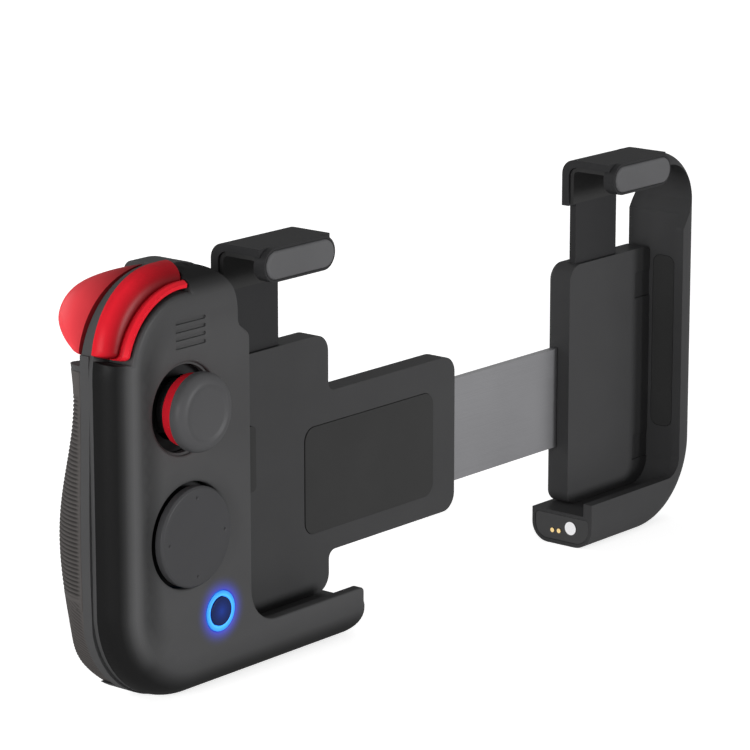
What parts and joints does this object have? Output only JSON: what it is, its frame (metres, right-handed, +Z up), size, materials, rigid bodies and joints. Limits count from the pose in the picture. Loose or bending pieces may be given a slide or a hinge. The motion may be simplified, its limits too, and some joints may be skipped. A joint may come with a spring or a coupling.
{
  "type": "telescopic phone gamepad",
  "caption": "Left-hand controller grip with stick, direction disc, lit button and shoulder triggers, and a sprung sliding arm and top clips that hold a phone.",
  "frame": {"origin": "below the middle of the whole object, on the flat underside it stands on", "axes": "+X along the long way from the grip to the arm, +Y from the front face to the back, +Z up from the underside to the clips"},
  "size_m": [0.202, 0.0299, 0.0921],
  "materials": {
    "shell": "fine matt texture",
    "grip_rubber": "ribbed, matt",
    "pad_rubber": "matt",
    "clip_pad": "matt, slightly lighter",
    "cap_rubber": "matt, soft edge",
    "disc_plastic": "smooth matt",
    "button_plastic": "satin",
    "inner_plastic": "plain",
    "red": "satin red",
    "red_metal": "metallic red",
    "steel": "plain",
    "plate_steel": "brushed along its length",
    "screw_steel": "blackened",
    "board": "lacquered",
    "battery_wrap": "film",
    "dock_gloss": "gloss black",
    "magnet_metal": "satin",
    "contact_gold": "bright",
    "ring_light": "lit from behind"
  },
  "bodies": {
    "grip": {"front_shell": "shell", "rear_shell": "shell", "rubber_grip": "grip_rubber", "lip_pad": "pad_rubber", "l1_pin": "steel", "l2_pin": "steel", "l2_spring": "steel", "shoulder_switches": "inner_plastic", "stick_housing": "inner_plastic", "disc_membrane": "pad_rubber", "light_ring": "ring_light", "button_switch": "inner_plastic", "main_board": "board", "battery": "battery_wrap", "usb_port": "steel", "shell_screws": "screw_steel", "bracket_cover": "shell", "bracket_tray": "shell", "bracket_pad": "pad_rubber", "bracket_screws": "screw_steel"},
    "arm": {"slide_plate": "plate_steel", "arm_spring": "steel", "arm_shell": "shell", "arm_back": "shell", "arm_pad": "pad_rubber", "dock_plate": "dock_gloss", "dock_magnet": "magnet_metal", "dock_contacts": "contact_gold", "arm_screws": "screw_steel"},
    "left_clip": {"left_clip": "shell", "left_clip_face": "clip_pad", "left_clip_liner": "pad_rubber", "left_clip_spring": "steel"},
    "right_clip": {"right_clip": "shell", "right_clip_face": "clip_pad", "right_clip_liner": "pad_rubber", "right_clip_spring": "steel"},
    "yoke": {"stick_yoke": "inner_plastic"},
    "rocker": {"stick_rocker": "inner_plastic"},
    "stick": {"stick_cap": "cap_rubber", "stick_drum": "red_metal", "stick_stem": "inner_plastic"},
    "carrier": {"disc_carrier": "inner_plastic"},
    "disc": {"direction_disc": "disc_plastic"},
    "button": {"mode_button": "button_plastic"},
    "bumper": {"l1_bumper": "red"},
    "trigger": {"l2_trigger": "red"}
  },
  "joints": [
    {"name": "arm_slide", "type": "slide", "parent": "grip", "child": "arm", "axis": [1, 0, 0], "range_m": [-0.04, 0.012], "stiffness_N_per_m": 40, "deforming": ["arm_spring"]},
    {"name": "left_clip_slide", "type": "slide", "parent": "grip", "child": "left_clip", "axis": [0, 0, 1], "range_m": [-0.014, 0.004], "stiffness_N_per_m": 120, "deforming": ["left_clip_spring"]},
    {"name": "right_clip_slide", "type": "slide", "parent": "arm", "child": "right_clip", "axis": [0, 0, 1], "range_m": [-0.014, 0.004], "stiffness_N_per_m": 120, "deforming": ["right_clip_spring"]},
    {"name": "stick_pitch", "type": "hinge", "parent": "grip", "child": "yoke", "pos_m": [-0.08055, -0.00365, 0.0622], "axis": [1, 0, 0], "range_deg": [-10, 10], "stiffness_Nm_per_rad": 0.02},
    {"name": "stick_yaw", "type": "hinge", "parent": "yoke", "child": "rocker", "pos_m": [-0.08055, -0.00365, 0.0622], "axis": [0, 0, 1], "range_deg": [-10, 10], "stiffness_Nm_per_rad": 0.02},
    {"name": "stick_press", "type": "slide", "parent": "rocker", "child": "stick", "axis": [0, 1, 0], "range_m": [0, 0.0004], "stiffness_N_per_m": 2000},
    {"name": "disc_pitch", "type": "hinge", "parent": "grip", "child": "carrier", "pos_m": [-0.07905, -0.00495, 0.03502], "axis": [1, 0, 0], "range_deg": [-3, 3], "stiffness_Nm_per_rad": 0.6},
    {"name": "disc_yaw", "type": "hinge", "parent": "carrier", "child": "disc", "pos_m": [-0.07905, -0.00495, 0.03502], "axis": [0, 0, 1], "range_deg": [-3, 3], "stiffness_Nm_per_rad": 0.6},
    {"name": "button_press", "type": "slide", "parent": "grip", "child": "button", "axis": [0, 1, 0], "range_m": [0, 0.0004], "stiffness_N_per_m": 1500},
    {"name": "bumper_press", "type": "hinge", "parent": "grip", "child": "bumper", "pos_m": [-0.07545, -0.00565, 0.0864], "axis": [0, -1, 0], "range_deg": [0, 1.5], "stiffness_Nm_per_rad": 1.5},
    {"name": "trigger_press", "type": "hinge", "parent": "grip", "child": "trigger", "pos_m": [-0.07605, 0.00435, 0.0852], "axis": [0, -1, 0], "range_deg": [0, 5], "stiffness_Nm_per_rad": 0.4}
  ]
}
